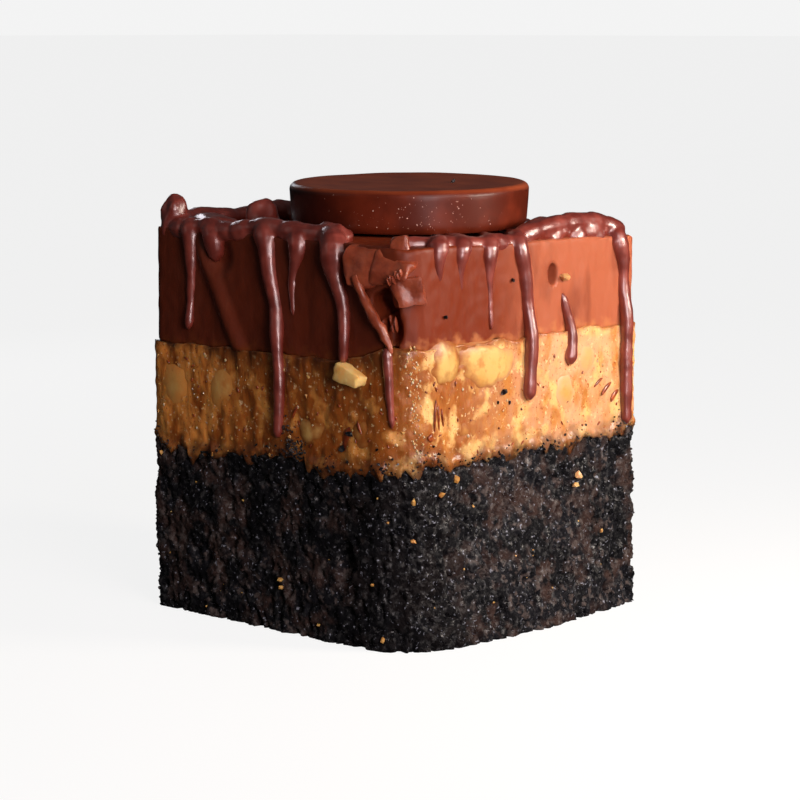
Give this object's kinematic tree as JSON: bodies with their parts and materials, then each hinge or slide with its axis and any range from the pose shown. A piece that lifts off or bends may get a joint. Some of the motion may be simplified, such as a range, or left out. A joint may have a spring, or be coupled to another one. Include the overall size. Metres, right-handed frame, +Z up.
{
  "type": "layer cake square",
  "caption": "Square piece of layered chocolate cake with pecan caramel, chocolate ganache, hanging chocolate drizzle and a round chocolate disc on top.",
  "frame": {"origin": "centre of the base, at the surface it stands on", "axes": "+Z up; the picture looks at the vertical edge between the -Y side, on its left, and the +X side, on its right"},
  "size_m": [0.0641, 0.0626, 0.0722],
  "materials": {
    "chocolate_crumb": "dry, open, nearly black chocolate crumb",
    "pecan_caramel": "sticky golden caramel with pieces of pecan",
    "chocolate_ganache": "smooth set ganache, drizzle with a satin shine",
    "moulded_chocolate": "moulded chocolate with a slight shine"
  },
  "bodies": {
    "root": {"chocolate_cake_base": "chocolate_crumb", "pecan_caramel": "pecan_caramel", "ganache_with_drizzle": "chocolate_ganache", "chocolate_disc": "moulded_chocolate"}
  },
  "joints": []
}
